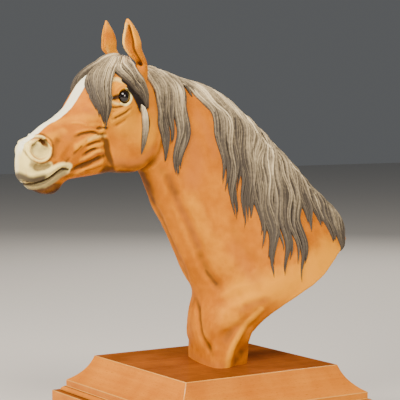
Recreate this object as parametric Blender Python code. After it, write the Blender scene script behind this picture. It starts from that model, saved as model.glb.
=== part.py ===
"""A porcelain horse head and neck on a moulded square wooden plinth.

Metres, +Z up. The origin is at the middle of the plinth's underside. The horse looks towards -X, with its left
side towards -Y. The horse is laid out flat, in a plane of its own with S along the body (the nose at -S),
D across it and H up from the plinth, in millimetres, and the neck is then turned to the left by bend().
"""
import math

import bmesh
import bpy
import numpy as np
from mathutils import Vector
from mathutils.bvhtree import BVHTree

MM = 0.001
GAP = 0.3                     # air left between pieces that rest on each other

# The plinth, from the underside up: a base board, then a top board with a bead, a fillet and a cove.
BASE_SIDE = 205.0
BASE_HEIGHT = 20.0
BEAD_RADIUS = 4.0
FILLET_SIDE = 186.5
FILLET_HEIGHT = 5.6
COVE_HEIGHT = 22.2
COVE_HOLLOW = 0.10            # depth of the cove as a share of its chord
TOP_SIDE = 150.0              # the flat square on top
PLINTH_HEIGHT = BASE_HEIGHT + BEAD_RADIUS + FILLET_HEIGHT + COVE_HEIGHT
ARC_STEPS = 8

# The horse.
VOXEL = 1.3                   # grain of the mesh that the masses are grown together in
SMOOTH_ROUNDS = 6
TRIANGLES = 8600
TURN = math.radians(13.0)     # how far the shoulders are turned from the head
TURN_FROM = -80.0             # S where the turn starts, at the throat
TURN_TO = -10.0               # S where it is complete, at the chest
RING_STEPS = 6                # points between two neighbours of a section
LOFT_STEPS = 5                # rings between two stations

# Sections of the head: S, top, underside, and half widths at HEAD_LEVELS of the way down.
HEAD_LEVELS = (0.05, 0.28, 0.52, 0.78, 0.95)
HEAD = (
    (-179.5, 182.0, 162.0, (4.5, 7.5, 8.0, 7.5, 4.5)),        # front of the muzzle
    (-177.0, 186.5, 157.5, (7.0, 11.0, 11.5, 11.0, 7.0)),
    (-173.0, 189.5, 153.0, (7.5, 13.0, 13.5, 12.5, 8.0)),     # nostrils and upper lip
    (-166.0, 196.0, 149.0, (8.0, 13.5, 14.0, 12.0, 7.5)),
    (-157.0, 202.5, 146.5, (9.5, 14.0, 14.5, 11.5, 7.0)),     # chin
    (-149.0, 207.0, 147.5, (10.0, 14.5, 15.0, 12.0, 7.0)),
    (-143.5, 210.5, 154.5, (10.5, 15.5, 16.0, 13.0, 8.0)),    # chin groove
    (-136.5, 216.5, 158.0, (11.5, 17.5, 17.5, 14.0, 9.0)),    # bars of the jaw
    (-130.0, 225.5, 159.0, (13.5, 20.0, 19.0, 15.0, 10.0)),
    (-121.0, 238.0, 160.0, (15.5, 23.5, 20.5, 16.5, 11.0)),   # forehead
    (-110.0, 246.0, 161.5, (16.0, 26.0, 22.5, 17.5, 12.0)),
    (-98.0, 250.0, 163.0, (17.0, 26.5, 23.0, 18.5, 13.0)),    # eyes
    (-84.0, 251.0, 164.0, (15.5, 22.5, 20.5, 18.0, 13.0)),    # poll and jowl
    (-70.0, 246.0, 172.0, (9.0, 15.0, 15.5, 15.0, 10.0)),
    (-60.0, 236.0, 192.0, (4.0, 8.0, 9.0, 8.0, 5.0)),
)

# Sections of the neck: crest (S, H), front (S, H), and half widths at NECK_LEVELS from the crest to the front.
NECK_LEVELS = (0.05, 0.28, 0.52, 0.78, 0.95)
NECK = (
    ((-76.0, 245.0), (-84.0, 180.0), (8.0, 13.0, 14.0, 12.0, 8.0)),
    ((-58.0, 247.0), (-68.0, 161.0), (8.0, 14.5, 16.5, 16.0, 10.5)),    # throat
    ((-30.5, 238.5), (-56.5, 137.0), (6.5, 14.5, 18.0, 18.0, 12.0)),
    ((-4.0, 229.0), (-43.5, 113.0), (7.0, 15.5, 20.5, 20.5, 13.5)),
    ((26.5, 206.5), (-30.5, 84.0), (7.5, 18.0, 25.0, 24.5, 15.5)),
    ((57.5, 176.5), (-19.0, 57.0), (8.5, 23.0, 32.0, 31.0, 18.5)),      # narrowest at the chest
    ((90.5, 142.0), (-21.0, 40.0), (10.0, 30.0, 38.0, 36.0, 25.0)),
    ((111.0, 122.5), (-21.0, 22.0), (13.0, 35.0, 42.0, 39.0, 31.0)),
    ((120.0, 96.0), (-17.5, 1.0), (18.0, 38.0, 38.0, 28.0, 23.0)),      # rim of the cut underside
)

# The hollow sweep that the underside is cut to, from the back of the foot up to the withers, as (S, H).
UNDERSIDE = ((22.5, -12.0), (21.5, 8.0), (21.5, 20.5), (23.5, 29.0), (27.5, 35.5), (35.0, 42.5), (46.0, 50.0),
             (57.5, 57.0), (70.5, 65.0), (85.0, 74.5), (98.0, 86.0), (128.0, 110.0))
UNDERSIDE_OUTER = (170.0, -12.0)  # corner of the cutter well clear of the horse
CUTTER_HALF = 70.0

# The foot that stands on the plinth: height, and half its outline seen from above as (S, D) from front to back.
FOOT = (
    (-4.0, ((-17.0, 0.0), (-16.5, 17.0), (-13.0, 34.5), (-3.0, 36.0), (6.0, 27.0), (20.5, 19.0), (22.0, 0.0))),
    (14.0, ((-17.0, 0.0), (-16.5, 16.0), (-13.0, 33.0), (0.0, 36.0), (9.0, 31.0), (21.0, 24.0), (22.5, 0.0))),
    (34.0, ((-16.0, 0.0), (-15.5, 17.0), (-11.0, 31.0), (6.0, 35.0), (15.0, 34.0), (23.5, 30.0), (25.0, 0.0))),
    (46.0, ((-10.0, 0.0), (-9.0, 14.0), (-3.0, 25.0), (8.0, 28.0), (16.0, 29.0), (31.0, 22.0), (33.0, 0.0))),
)

# Rounded masses that stand out from the sections: middle (S, D, H) and radii (S, D, H), made on both sides.
MASSES = {
    "jowl": ((-85.5, 8.0, 190.0), (25.0, 13.0, 27.0)),
    "orbit": ((-101.0, 18.0, 226.0), (13.0, 9.0, 9.0)),
    "nostril": ((-167.5, 8.0, 182.5), (10.0, 6.5, 10.0)),
    "facial_crest": ((-109.0, 15.5, 205.0), (15.0, 7.5, 7.0)),
    "pectoral": ((-10.0, 15.0, 26.0), (10.0, 15.5, 17.5)),
    "forelock_bed": ((-91.0, 3.0, 247.5), (13.0, 10.0, 6.5)),
    "ear_root": ((-80.0, 15.5, 241.5), (5.5, 5.5, 9.0)),
}

# Ear: sections from root to tip, as middle (S, D, H), half width and depth of the cup.
EAR = (
    ((-78.0, 11.5, 228.0), 5.0, 5.5),
    ((-77.0, 15.0, 240.0), 4.5, 6.0),
    ((-78.0, 17.0, 249.0), 4.5, 6.0),
    ((-80.5, 18.0, 253.0), 5.0, 7.0),
    ((-84.5, 19.0, 257.0), 6.0, 8.5),
    ((-88.5, 19.5, 263.0), 7.0, 9.5),
    ((-89.0, 19.0, 267.5), 7.5, 10.0),
    ((-89.5, 18.0, 275.0), 6.0, 8.5),
    ((-90.0, 17.0, 281.5), 4.0, 5.0),
    ((-90.5, 16.0, 287.0), 1.5, 1.5),
)
EAR_FACING = math.radians(18.0)   # the cup looks this far outwards from straight ahead
EAR_WRAP = math.radians(104.0)    # how far the ear wraps round to each side of its back
EAR_WALL = 2.8
EAR_AROUND = 14                   # points on the outer and on the inner face of a section

# Locks of the mane, which hang on the left: S of the root on the crest, tip (S, H), half width.
MANE = (
    (-61.0, -54.0, 168.0, 5.0), (-54.0, -44.0, 157.0, 7.0), (-46.0, -39.0, 172.0, 6.0),
    (-36.0, -14.0, 215.0, 5.0), (-34.0, 0.0, 143.0, 6.0), (-24.0, 6.0, 123.0, 7.0),
    (-11.0, 11.0, 107.0, 7.0), (2.0, 29.0, 98.0, 8.0), (16.0, 39.0, 74.0, 8.0), (28.0, 51.0, 75.0, 8.0),
    (40.0, 64.0, 70.0, 8.0), (54.0, 76.0, 108.0, 8.0), (68.0, 93.0, 97.0, 8.0), (84.0, 107.0, 87.0, 8.0),
    (98.0, 115.0, 96.0, 8.0),
)
MANE_THICK = 4.4
MANE_FALL = 5.0                   # how soon a lock turns from the crest to hang down

# Locks of the forelock, which fall over the brow and the left side: points (S, D, H) and half width.
FORELOCK = (
    (((-80.0, 0.0, 254.0), (-104.0, 3.0, 254.0), (-121.0, 5.0, 244.0), (-130.0, 7.0, 231.0)), 7.0),
    (((-80.0, -2.0, 254.0), (-104.0, -6.0, 250.0), (-121.0, -12.0, 236.0), (-119.0, -18.0, 212.0)), 7.0),
    (((-80.0, -4.0, 254.0), (-104.0, -12.0, 246.0), (-115.0, -20.0, 226.0), (-113.0, -21.0, 199.0)), 7.5),
    (((-79.0, -6.0, 252.0), (-90.0, -18.0, 247.0), (-84.0, -25.0, 230.0), (-75.0, -24.0, 209.0)), 6.0),
    (((-78.0, -23.0, 222.0), (-81.0, -24.0, 205.0), (-82.0, -24.0, 192.0), (-79.0, -22.0, 178.0)), 4.0),
)
FORELOCK_THICK = 4.4
LOCK_AROUND = 8
LOCK_TIP = 0.08                   # size of a lock's tip as a share of its full size
LOCK_LENGTH_STEPS = 10


def spline(points, steps, closed=False):
    """A smooth run of points through the given ones."""
    given = np.asarray(points, dtype=float)
    count = len(given)
    if closed:
        padded = np.concatenate([given[-1:], given, given[:2]])
    else:
        padded = np.concatenate([[2.0 * given[0] - given[1]], given, [2.0 * given[-1] - given[-2]]])
    result = []
    for i in range(count if closed else count - 1):
        before, start, end, after = padded[i:i + 4]
        for k in range(steps):
            t = k / steps
            result.append(0.5 * (2.0 * start + (end - before) * t
                                 + (2.0 * before - 5.0 * start + 4.0 * end - after) * t * t
                                 + (3.0 * start - before - 3.0 * end + after) * t * t * t))
    if not closed:
        result.append(given[-1])
    return np.array(result)


def ring(top, bottom, levels, widths):
    """The closed section between a top and a bottom point (S, H) of the middle plane, as (S, D, H) points."""
    half = [(0.0, 0.0)] + list(zip(widths, levels)) + [(0.0, 1.0)]
    outline = half + [(-width, level) for width, level in reversed(half[1:-1])]
    across = spline(outline, RING_STEPS, closed=True)
    top = np.asarray(top)
    bottom = np.asarray(bottom)
    middle = top + across[:, 1:] * (bottom - top)
    return np.column_stack([middle[:, 0], across[:, 0], middle[:, 1]])


def skin_rings(name, rings):
    """An object whose skin runs over the rings, with a flat cap at each end."""
    rings = [np.asarray(r) for r in rings]
    around = len(rings[0])
    mesh = bpy.data.meshes.new(name)
    faces = [list(range(around))[::-1]]
    for i in range(len(rings) - 1):
        for k in range(around):
            after = (k + 1) % around
            faces.append([i * around + k, i * around + after, (i + 1) * around + after, (i + 1) * around + k])
    faces.append([(len(rings) - 1) * around + k for k in range(around)])
    mesh.from_pydata(np.vstack(rings).tolist(), [], faces)
    work = bmesh.new()
    work.from_mesh(mesh)
    bmesh.ops.recalc_face_normals(work, faces=work.faces)
    work.to_mesh(mesh)
    work.free()
    piece = bpy.data.objects.new(name, mesh)
    bpy.context.collection.objects.link(piece)
    return piece


def lofted(name, stations, levels):
    """A body skinned over stations of top, bottom and half widths, with the stations smoothly filled in."""
    table = [list(top) + list(bottom) + list(widths) for top, bottom, widths in stations]
    filled = spline(table, LOFT_STEPS)
    return skin_rings(name, [ring(row[0:2], row[2:4], levels, row[4:]) for row in filled])


def head_body():
    return lofted("head", [((s, top), (s, bottom), widths) for s, top, bottom, widths in HEAD], HEAD_LEVELS)


def neck_body():
    return lofted("neck", NECK, NECK_LEVELS)


def foot_body():
    """The foot, from mirrored outlines joined upwards."""
    outlines = []
    for height, half in FOOT:
        whole = list(half) + [(s, -d) for s, d in reversed(half[1:-1])]
        outlines.append([(s, d, height) for s, d in spline(whole, 3, closed=True)])
    return skin_rings("foot", spline(outlines, LOFT_STEPS))


def mass_body(name, middle, radii, side):
    """One rounded mass, on the side given by the sign."""
    mesh = bpy.data.meshes.new(name)
    work = bmesh.new()
    bmesh.ops.create_icosphere(work, subdivisions=4, radius=1.0)
    for vertex in work.verts:
        s, d, h = vertex.co
        vertex.co = (middle[0] + s * radii[0], side * middle[1] + d * radii[1], middle[2] + h * radii[2])
    work.to_mesh(mesh)
    work.free()
    piece = bpy.data.objects.new(name, mesh)
    bpy.context.collection.objects.link(piece)
    return piece


def ear_body(side):
    """A leaf-shaped ear: crescent sections whose outer face wraps the back and whose inner face is the cup."""
    rings = []
    rows = spline([list(middle) + [width, depth] for middle, width, depth in EAR], LOFT_STEPS)
    for s, d, h, width, depth in rows:
        wall = min(EAR_WALL, 0.7 * width)
        faces = [(width, depth, 1.0), (width - wall, depth - wall, -1.0)]
        section = []
        for half_width, back, way in faces:
            for k in range(EAR_AROUND):
                angle = way * EAR_WRAP * (2.0 * k / (EAR_AROUND - 1) - 1.0)
                across = half_width * math.sin(angle)
                behind = back * math.cos(angle)
                along = behind * math.cos(EAR_FACING) - across * math.sin(EAR_FACING)
                aside = -behind * math.sin(EAR_FACING) - across * math.cos(EAR_FACING)
                section.append((s + along, side * (d + aside), h))
        rings.append(section)
    return skin_rings("ear", rings)


def lock_body(name, route, half_width, thick, tree):
    """A flat tapering lock laid on the skin along the route, a run of points near it."""
    rings = []
    for i, point in enumerate(route):
        share = i / (len(route) - 1)
        spot, normal, _, _ = tree.find_nearest(Vector(point))
        run = (Vector(route[min(i + 1, len(route) - 1)]) - Vector(route[max(i - 1, 0)])).normalized()
        across = run.cross(normal).normalized()
        taper = max(LOCK_TIP, min(1.0, 0.6 + 2.5 * share) * (1.0 - share ** 3))
        section = []
        for k in range(LOCK_AROUND):
            angle = 2.0 * math.pi * k / LOCK_AROUND
            section.append(spot + across * (half_width * taper * math.cos(angle))
                           + normal * (thick * taper * math.sin(angle)))
        rings.append([tuple(corner) for corner in section])
    return skin_rings(name, rings)


def mane_route(root_s, tip_s, tip_h, tree):
    """From the crest back and down to the tip, over the left side of the neck."""
    crest = spline([top for top, _, _ in NECK], LOFT_STEPS)
    root_h = float(np.interp(root_s, crest[:, 0], crest[:, 1])) - 1.5
    route = []
    for k in range(LOCK_LENGTH_STEPS + 1):
        share = k / LOCK_LENGTH_STEPS
        s = root_s + (tip_s - root_s) * (1.0 - (1.0 - share) ** MANE_FALL)
        h = root_h + (tip_h - root_h) * share
        spot, _, _, _ = tree.ray_cast(Vector((s, -100.0, h)), Vector((0.0, 1.0, 0.0)))
        if spot is None:
            spot = Vector((s, 0.0, h))
        route.append(tuple(spot))
    return route


def hair_bodies(body):
    """The locks of the mane and the forelock, laid on the body."""
    tree = BVHTree.FromPolygons([v.co[:] for v in body.data.vertices], [p.vertices[:] for p in body.data.polygons])
    locks = []
    for root_s, tip_s, tip_h, half_width in MANE:
        route = mane_route(root_s, tip_s, tip_h, tree)
        locks.append(lock_body("mane lock", route, half_width, MANE_THICK, tree))
    for points, half_width in FORELOCK:
        route = [tuple(p) for p in spline(points, 4)]
        locks.append(lock_body("forelock", route, half_width, FORELOCK_THICK, tree))
    return locks


def joined(name, pieces):
    """The pieces as one object."""
    work = bmesh.new()
    for piece in pieces:
        work.from_mesh(piece.data)
        bpy.data.objects.remove(piece)
    mesh = bpy.data.meshes.new(name)
    work.to_mesh(mesh)
    work.free()
    result = bpy.data.objects.new(name, mesh)
    bpy.context.collection.objects.link(result)
    return result


def evaluated(piece):
    """The piece with its modifiers made real."""
    graph = bpy.context.evaluated_depsgraph_get()
    mesh = bpy.data.meshes.new_from_object(piece.evaluated_get(graph))
    name = piece.name
    bpy.data.objects.remove(piece)
    result = bpy.data.objects.new(name, mesh)
    bpy.context.collection.objects.link(result)
    return result


def bend(points):
    """Turns the flat layout: the heading grows smoothly from nothing at the throat to TURN at the chest."""
    along = np.linspace(-230.0, 190.0, 841)
    share = np.clip((along - TURN_FROM) / (TURN_TO - TURN_FROM), 0.0, 1.0)
    heading = TURN * share * share * (3.0 - 2.0 * share)
    step = along[1] - along[0]
    middle = 0.5 * (heading[1:] + heading[:-1])
    x = np.concatenate([[0.0], np.cumsum(np.cos(middle)) * step])
    y = np.concatenate([[0.0], -np.cumsum(np.sin(middle)) * step])
    anchor = -20.0
    x += anchor - np.interp(anchor, along, x)
    y -= np.interp(anchor, along, y)
    s, d, h = points.T
    angle = np.interp(s, along, heading)
    return np.column_stack([np.interp(s, along, x) + d * np.sin(angle),
                            np.interp(s, along, y) + d * np.cos(angle), h])


def mesh_points(mesh):
    points = np.empty(len(mesh.vertices) * 3, dtype=np.float32)
    mesh.vertices.foreach_get("co", points)
    return points.reshape(-1, 3).astype(float)


def underside_cutter():
    """A prism right across the horse, under the sweep from the foot to the withers."""
    sweep = [tuple(point) for point in spline(UNDERSIDE, 3)]
    profile = sweep + [(UNDERSIDE_OUTER[0], sweep[-1][1]), UNDERSIDE_OUTER]
    rings = [[(s, d, h) for s, h in profile] for d in (-CUTTER_HALF, CUTTER_HALF)]
    cutter = skin_rings("underside cutter", rings)
    cutter.hide_render = True
    cutter.display_type = "WIRE"
    return cutter


def grown_together(body, smooth_rounds):
    """The body's overlapping masses as one skin, smoothed."""
    remesh = body.modifiers.new("grow together", "REMESH")
    remesh.mode = "VOXEL"
    remesh.voxel_size = VOXEL
    smooth = body.modifiers.new("smooth", "SMOOTH")
    smooth.factor = 0.5
    smooth.iterations = smooth_rounds
    return evaluated(body)


def horse_head():
    """The horse: its masses grown together, its hair laid on, turned, and cut flat to stand on the plinth."""
    pieces = [head_body(), neck_body(), foot_body()]
    for name, (middle, radii) in MASSES.items():
        pieces += [mass_body(name, middle, radii, side) for side in (-1.0, 1.0)]
    body = grown_together(joined("body", pieces), SMOOTH_ROUNDS)
    cutter = underside_cutter()
    cut = body.modifiers.new("underside", "BOOLEAN")
    cut.operation = "DIFFERENCE"
    cut.object = cutter
    body = evaluated(body)
    bpy.data.objects.remove(cutter)
    pieces = [body] + [ear_body(side) for side in (-1.0, 1.0)] + hair_bodies(body)
    horse = grown_together(joined("horse_head", pieces), 2)

    points = bend(mesh_points(horse.data))
    points[:, 2] += PLINTH_HEIGHT
    horse.data.vertices.foreach_set("co", (points * MM).ravel())
    fewer = horse.modifiers.new("fewer faces", "DECIMATE")
    fewer.ratio = TRIANGLES / (2.0 * len(horse.data.polygons))
    fewer.use_collapse_triangulate = True
    horse = evaluated(horse)

    work = bmesh.new()
    work.from_mesh(horse.data)
    parts = work.verts[:] + work.edges[:] + work.faces[:]
    sole = (PLINTH_HEIGHT + GAP) * MM
    cut = bmesh.ops.bisect_plane(work, geom=parts, plane_co=(0.0, 0.0, sole), plane_no=(0.0, 0.0, 1.0),
                                 clear_inner=True)
    rim = [part for part in cut["geom_cut"] if isinstance(part, bmesh.types.BMEdge)]
    bmesh.ops.contextual_create(work, geom=rim)
    bmesh.ops.triangulate(work, faces=work.faces[:])
    work.to_mesh(horse.data)
    work.free()
    horse.data.shade_smooth()
    return horse


def board(name, profile):
    """A square board whose sides all have the profile, (half side, height) from the underside up."""
    corners = ((-1.0, -1.0), (1.0, -1.0), (1.0, 1.0), (-1.0, 1.0))
    rings = [[(x * half * MM, y * half * MM, z * MM) for x, y in corners] for half, z in profile]
    return skin_rings(name, rings)


def plinth_base():
    """The lower board, plain and square."""
    return board("plinth_base_board", [(BASE_SIDE / 2.0, 0.0), (BASE_SIDE / 2.0, BASE_HEIGHT)])


def plinth_top():
    """The upper board: a bead at its foot, a fillet, and a hollow cove up to the flat top."""
    fillet_half = FILLET_SIDE / 2.0
    top_half = TOP_SIDE / 2.0
    foot = BASE_HEIGHT + GAP
    bead_top = BASE_HEIGHT + BEAD_RADIUS
    fillet_top = bead_top + FILLET_HEIGHT
    profile = []
    for k in range(ARC_STEPS):
        angle = math.pi / 2.0 * k / ARC_STEPS
        profile.append((fillet_half + BEAD_RADIUS * math.cos(angle),
                        foot + (bead_top - foot) * math.sin(angle)))
    profile.append((fillet_half, bead_top))
    run = fillet_half - top_half
    chord = math.hypot(run, COVE_HEIGHT)
    for k in range(ARC_STEPS + 1):
        share = k / ARC_STEPS
        hollow = COVE_HOLLOW * chord * 4.0 * share * (1.0 - share)
        profile.append((fillet_half - run * share - hollow * COVE_HEIGHT / chord,
                        fillet_top + COVE_HEIGHT * share - hollow * run / chord))
    return board("plinth_top_board", profile)


def material(name, colour, roughness, coat):
    made = bpy.data.materials.new(name)
    made.use_nodes = True
    shader = made.node_tree.nodes["Principled BSDF"]
    shader.inputs["Base Color"].default_value = (*colour, 1.0)
    shader.inputs["Roughness"].default_value = roughness
    shader.inputs["Metallic"].default_value = 0.0
    shader.inputs["Coat Weight"].default_value = coat
    return made


if __name__ == "__main__":
    for old in list(bpy.data.objects):
        bpy.data.objects.remove(old)
    bisque = material("painted bisque porcelain", (0.62, 0.27, 0.07), 0.5, 0.0)
    mahogany = material("polished mahogany", (0.24, 0.08, 0.03), 0.3, 0.5)
    horse_head().data.materials.append(bisque)
    plinth_base().data.materials.append(mahogany)
    plinth_top().data.materials.append(mahogany)
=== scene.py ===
"""A hand-painted bisque porcelain horse head on its stepped mahogany plinth.

The horse is laid out flat in millimetres, with S along the body (the nose at -S), D across it (its left side
at -D) and H up from the top of the plinth, and is then turned to the left and stood up.
"""
import math

import bmesh
import bpy
import numpy as np
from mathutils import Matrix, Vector, noise
from mathutils.bvhtree import BVHTree


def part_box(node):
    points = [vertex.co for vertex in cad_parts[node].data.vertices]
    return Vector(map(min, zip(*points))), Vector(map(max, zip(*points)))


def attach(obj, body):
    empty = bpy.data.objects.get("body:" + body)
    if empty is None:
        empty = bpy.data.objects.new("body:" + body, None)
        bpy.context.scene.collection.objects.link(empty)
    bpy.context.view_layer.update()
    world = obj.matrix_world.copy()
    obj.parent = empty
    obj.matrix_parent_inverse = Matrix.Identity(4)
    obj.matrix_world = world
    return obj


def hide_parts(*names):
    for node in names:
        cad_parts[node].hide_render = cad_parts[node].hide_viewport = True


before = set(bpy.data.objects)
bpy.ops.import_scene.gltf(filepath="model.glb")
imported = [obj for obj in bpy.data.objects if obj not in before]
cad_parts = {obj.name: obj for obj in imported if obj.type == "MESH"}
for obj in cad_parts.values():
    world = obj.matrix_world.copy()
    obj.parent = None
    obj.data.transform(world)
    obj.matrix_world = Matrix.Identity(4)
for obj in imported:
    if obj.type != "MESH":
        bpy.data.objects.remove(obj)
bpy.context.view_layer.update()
bpy.ops.object.select_all(action="DESELECT")

# ---- The studio. A camera a little above the plinth, to the front of the horse's left side, a soft light
# high over it, others beside it, before its nose and behind it, and a plain pale floor.
CAMERA_PLACE = Vector((-0.694, -1.063, 0.273))
CAMERA_TARGET = Vector((-0.005, 0.014, 0.188))
camera = bpy.data.objects.new("camera", bpy.data.cameras.new("camera"))
camera.data.lens = 135.0
camera.data.sensor_width = 36.0
camera.location = CAMERA_PLACE
camera.rotation_euler = (CAMERA_TARGET - CAMERA_PLACE).to_track_quat("-Z", "Y").to_euler()
bpy.context.scene.collection.objects.link(camera)
bpy.context.scene.camera = camera


def studio_light(name, place, size, watts, colour=(1.0, 0.90, 0.78)):
    """A soft square lamp that faces the middle of the part."""
    lamp = bpy.data.objects.new(name, bpy.data.lights.new(name, "AREA"))
    lamp.data.size = size
    lamp.data.energy = watts
    lamp.data.color = colour
    lamp.location = place
    lamp.rotation_euler = (CAMERA_TARGET - lamp.location).to_track_quat("-Z", "Y").to_euler()
    bpy.context.scene.collection.objects.link(lamp)


studio_light("key_light", (-0.30, -1.05, 1.45), 0.6, 26.0)
studio_light("side_light", (0.35, -1.40, 0.70), 0.4, 13.0)
studio_light("nose_light", (-1.35, -0.50, 0.80), 0.7, 28.0)
studio_light("brow_light", (-1.05, 0.40, 1.00), 0.5, 18.0)
studio_light("back_light", (0.9, 1.0, 0.9), 0.8, 9.0)

world = bpy.data.worlds.new("studio")
world.use_nodes = True
world.node_tree.nodes["Background"].inputs["Color"].default_value = (0.80, 0.83, 0.86, 1.0)
world.node_tree.nodes["Background"].inputs["Strength"].default_value = 0.13
bpy.context.scene.world = world

bpy.ops.mesh.primitive_plane_add(size=8.0, location=(0.0, 0.0, 0.0))
floor = bpy.context.object
floor.name = "floor"
floor_paint = bpy.data.materials.new("floor paint")
floor_paint.use_nodes = True
floor_paint.node_tree.nodes["Principled BSDF"].inputs["Base Color"].default_value = (0.62, 0.61, 0.59, 1.0)
floor_paint.node_tree.nodes["Principled BSDF"].inputs["Roughness"].default_value = 0.85
floor.data.materials.append(floor_paint)

# ---- The plinth's base board: a plain square board of solid mahogany, planed, stained and polished, with its
# arrises just taken off by hand. The grain runs along each side, and the pores are filled.
BASE_LOW, BASE_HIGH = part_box("plinth_base_board")
ARRIS = 0.0007               # width of the rounding on an arris


class Shade:
    """One value in a material's nodes, so that the material's maths reads as an expression."""

    def __init__(self, tree, socket):
        self.tree = tree
        self.socket = socket

    def node(self, kind, settings=None, sockets=None, output=0):
        """A new node: its settings are made first, then its sockets are filled, by name or number."""
        made = self.tree.nodes.new("ShaderNode" + kind)
        settings = dict(settings or {})
        stops = settings.pop("stops", ())
        for name, value in settings.items():
            setattr(made, name, value)
        for place, (position, colour) in enumerate(stops):
            ramp = made.color_ramp.elements
            stop = ramp[place] if place < 2 else ramp.new(position)
            stop.position = position
            stop.color = (*colour, 1.0)
        for place, value in (sockets or {}).items():
            if isinstance(value, Shade):
                self.tree.links.new(value.socket, made.inputs[place])
            else:
                made.inputs[place].default_value = value
        return Shade(self.tree, made.outputs[output])

    def maths(self, operation, *values):
        return self.node("Math", {"operation": operation}, dict(enumerate(values)))

    def __add__(self, other):
        return self.maths("ADD", self, other)

    def __sub__(self, other):
        return self.maths("SUBTRACT", self, other)

    def __rsub__(self, other):
        return self.maths("SUBTRACT", other, self)

    def __mul__(self, other):
        return self.maths("MULTIPLY", self, other)

    __radd__ = __add__
    __rmul__ = __mul__

    def within(self, low, high):
        """0 below low and 1 above high, with a smooth step between."""
        return self.node("MapRange", {"interpolation_type": "SMOOTHSTEP"}, {0: self, 1: low, 2: high})

    def blend(self, first, second):
        """The first colour where this value is 0 and the second where it is 1."""
        colours = {6: first, 7: second}
        for place, colour in colours.items():
            if isinstance(colour, tuple):
                colours[place] = (*colour, 1.0)
        return self.node("Mix", {"data_type": "RGBA"}, {0: self, **colours}, 2)

    def noise(self, places, scale, detail=3.0, roughness=0.5, stretch=(1.0, 1.0, 1.0)):
        """Cloudy noise over the places, finer along the axes that are stretched more."""
        laid = places.node("VectorMath", {"operation": "MULTIPLY"}, {0: places, 1: stretch})
        sockets = {"Vector": laid, "Scale": scale, "Detail": detail, "Roughness": roughness}
        return self.node("TexNoise", {"noise_dimensions": "3D"}, sockets)


def new_finish(name, **fixed):
    """A material with its fixed values set, and the Shade that its own maths starts from."""
    made = bpy.data.materials.new(name)
    made.use_nodes = True
    shader = made.node_tree.nodes["Principled BSDF"]
    for socket, value in fixed.items():
        shader.inputs[socket.replace("_", " ")].default_value = value
    return made, Shade(made.node_tree, None)


def feed(made, **varying):
    """Links varying values to the material's shader."""
    shader = made.node_tree.nodes["Principled BSDF"]
    for socket, value in varying.items():
        made.node_tree.links.new(value.socket, shader.inputs[socket.replace("_", " ")])


def mahogany(name, light, dark, roughness, gloss=0.5, coat=0.2):
    """Polished mahogany: ribbon figure across the grain, fine filled pores along it, and a worn polish."""
    made, start = new_finish(name, Coat_Weight=coat, Coat_Roughness=0.14, IOR=1.4, Specular_IOR_Level=gloss)
    run = start.node("UVMap", {"uv_map": "grain"})
    ribbon = start.noise(run, 1.0, 4.0, 0.55, (60.0, 34.0, 1.0)).within(0.25, 0.75)
    cloud = start.noise(run, 1.0, 3.0, 0.5, (14.0, 26.0, 1.0)).within(0.3, 0.7)
    streak = start.noise(run, 1.0, 5.0, 0.6, (7.0, 300.0, 1.0)).within(0.3, 0.75)
    pores = start.noise(run, 1.0, 2.0, 0.5, (260.0, 2600.0, 1.0)).within(0.60, 0.72)
    figure = ribbon * 0.25 + cloud * 0.45 + streak * 0.3
    stain = figure.blend(dark, light)
    pored = (pores * 0.45).blend(stain, tuple(0.35 * part for part in dark))
    worn = roughness + (cloud + pores) * 0.06
    bump = start.node("Bump", None, {"Strength": 0.12, "Distance": 0.0002, "Height": streak - pores})
    feed(made, Base_Color=pored, Roughness=worn, Normal=bump)
    return made


mahogany_side = mahogany("mahogany sides", (0.66, 0.228, 0.014), (0.44, 0.116, 0.006), 0.36, 0.1, 0.08)
# The flat tops take a darker copy of the same wood: a painted dark reflection.
mahogany_top_dark_reflection = mahogany("mahogany top", (0.33, 0.092, 0.012), (0.15, 0.040, 0.006), 0.32, 0.0, 0.08)
# The arrises take a lighter, glossier copy of the wood: a painted highlight along each edge.
mahogany_arris_highlight = mahogany("mahogany arrises", (0.76, 0.38, 0.08), (0.52, 0.22, 0.03), 0.3)


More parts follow.
